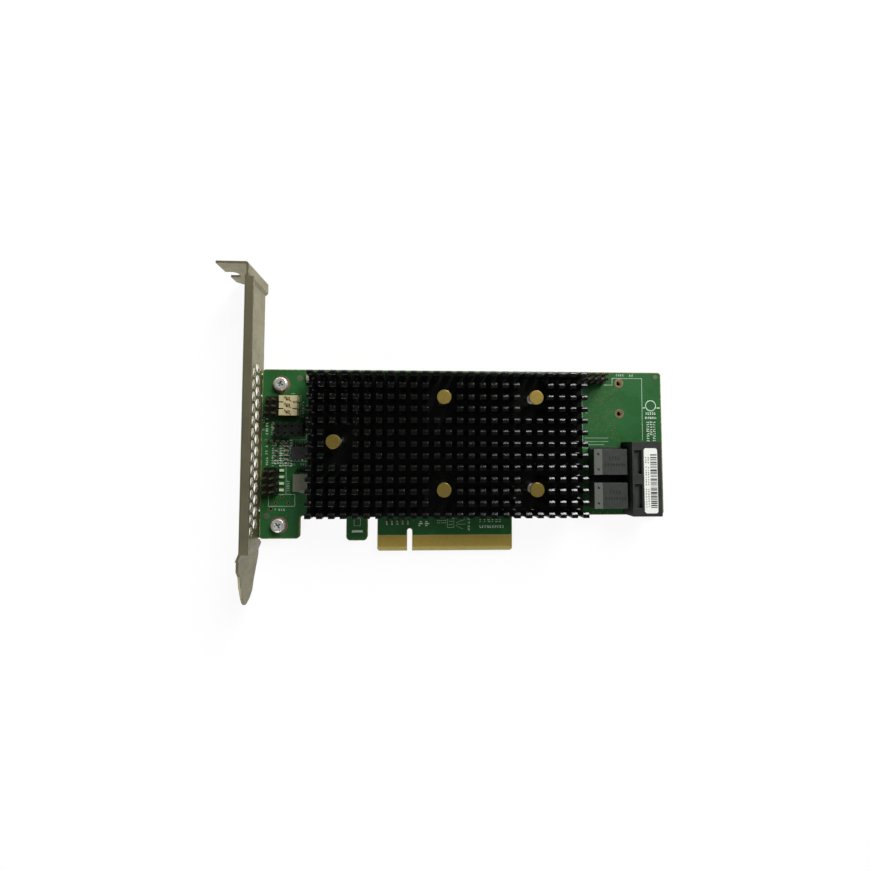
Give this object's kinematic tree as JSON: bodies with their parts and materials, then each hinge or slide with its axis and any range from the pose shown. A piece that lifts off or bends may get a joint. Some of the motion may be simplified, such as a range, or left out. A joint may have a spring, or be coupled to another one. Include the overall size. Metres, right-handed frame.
{
  "type": "raid controller card",
  "caption": "Plug-in storage controller card: green board with gold edge contacts, slotted steel bracket, black pin-fin heat sink on brass push pins and two cable ports at the end.",
  "frame": {"origin": "the edge connector's datum: the middle of the key notch, on the connector's lowest edge, in the plane of the component side", "axes": "+X along the card away from the bracket, +Y from the edge connector to the board's top edge, +Z out of the component side"},
  "size_m": [0.1662, 0.12, 0.0184],
  "materials": {
    "board": "green solder mask over glass-epoxy board, satin",
    "gold": "gold plating",
    "bracket": "zinc-plated sheet steel, dull and slightly yellowed",
    "screws": "bright plated steel",
    "heat_sink": "black anodised",
    "brass": "plain turned brass",
    "spring_steel": "bright spring wire",
    "carrier": "chip carrier board",
    "lid": "plated lid",
    "thermal_pad": "soft pad",
    "black_plastic": "moulded black",
    "grey_plastic": "moulded dark grey",
    "pale_plastic": "moulded grey",
    "label": "white paper label",
    "header_plastic": "moulded black",
    "cream_plastic": "moulded cream nylon",
    "chip_plastic": "moulded black epoxy",
    "tin": "tinned copper",
    "inductor": "pressed iron powder, grey-tan",
    "lamp": "clear resin over a white base",
    "capacitor": "tan ceramic",
    "resistor": "black glazed ceramic"
  },
  "bodies": {
    "root": {"circuit_board": "board", "edge_contacts_front": "gold", "edge_contacts_back": "gold", "mounting_bracket": "bracket", "bracket_screws": "screws", "heat_sink": "heat_sink", "push_pins": "brass", "push_pin_springs": "spring_steel", "controller_carrier": "carrier", "controller_lid": "lid", "thermal_pad": "thermal_pad", "port_housing": "black_plastic", "lower_port_block": "grey_plastic", "upper_port_block": "grey_plastic", "lower_port_strip": "pale_plastic", "upper_port_strip": "pale_plastic", "port_contacts": "gold", "barcode_label": "label", "status_header": "header_plastic", "lower_header": "header_plastic", "ribbed_header": "header_plastic", "debug_header": "header_plastic", "status_header_posts": "gold", "lower_header_posts": "gold", "ribbed_header_posts": "gold", "debug_header_posts": "gold", "cream_socket": "cream_plastic", "cream_socket_contacts": "brass", "flash_chip": "chip_plastic", "flash_chip_leads": "tin", "power_inductor": "inductor", "power_inductor_tabs": "tin", "status_lamps": "lamp", "ceramic_capacitors": "capacitor", "chip_resistors": "resistor"}
  },
  "joints": []
}
